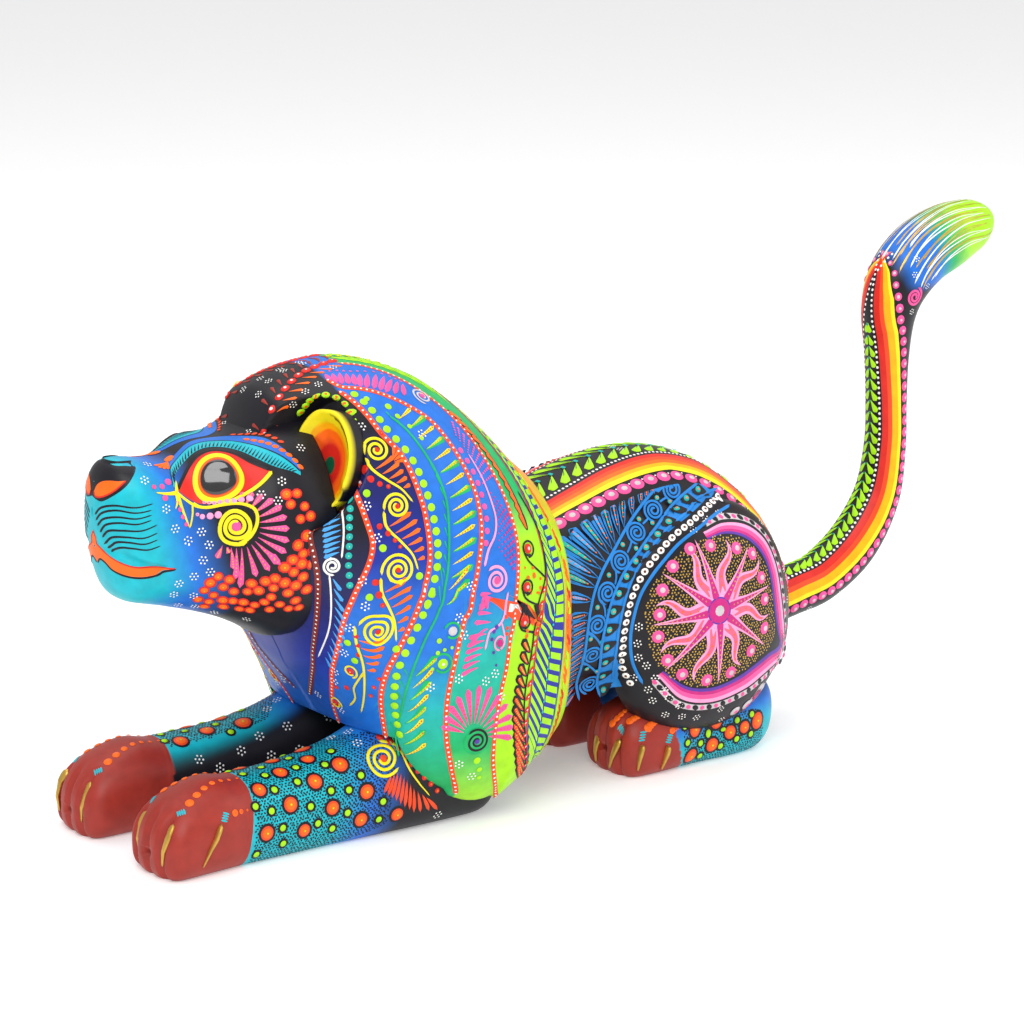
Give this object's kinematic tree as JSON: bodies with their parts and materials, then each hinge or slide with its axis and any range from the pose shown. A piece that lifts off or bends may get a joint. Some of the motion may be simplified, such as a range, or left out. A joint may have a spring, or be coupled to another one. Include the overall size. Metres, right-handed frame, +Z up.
{
  "type": "alebrije lion figure",
  "caption": "Carved and painted wooden lion, crouching with raised head, full mane and a tall curled tail that plugs into the rump.",
  "frame": {"origin": "on the table, below the middle of the figure box", "axes": "+X from the nose towards the tail, +Z up, the lion's own left side at -Y"},
  "size_m": [0.4391, 0.1236, 0.2119],
  "materials": {
    "black_ground": "painted, satin varnish",
    "mane_paint": "painted, satin varnish",
    "face_paint": "painted, satin varnish",
    "ear_paint": "painted, satin varnish",
    "leg_paint": "painted, satin varnish",
    "haunch_paint": "painted, satin varnish",
    "tail_paint": "painted, satin varnish",
    "bare_wood": "sawn and sanded"
  },
  "bodies": {
    "figure": {"torso": "black_ground", "mane": "mane_paint", "head": "face_paint", "ear_left": "ear_paint", "ear_right": "ear_paint", "foreleg_left": "leg_paint", "foreleg_right": "leg_paint", "hind_leg_left": "haunch_paint", "hind_leg_right": "haunch_paint", "neck_dowel": "bare_wood", "body_dowels": "bare_wood", "foreleg_dowels_left": "bare_wood", "foreleg_dowels_right": "bare_wood", "hind_leg_dowels_left": "bare_wood", "hind_leg_dowels_right": "bare_wood", "ear_peg_left": "bare_wood", "ear_peg_right": "bare_wood"},
    "tail": {"tail": "tail_paint"}
  },
  "joints": [
    {"name": "tail_pull", "type": "slide", "parent": "figure", "child": "tail", "axis": [0.9848, 0, 0.1736], "range_m": [0, 0.045]}
  ]
}
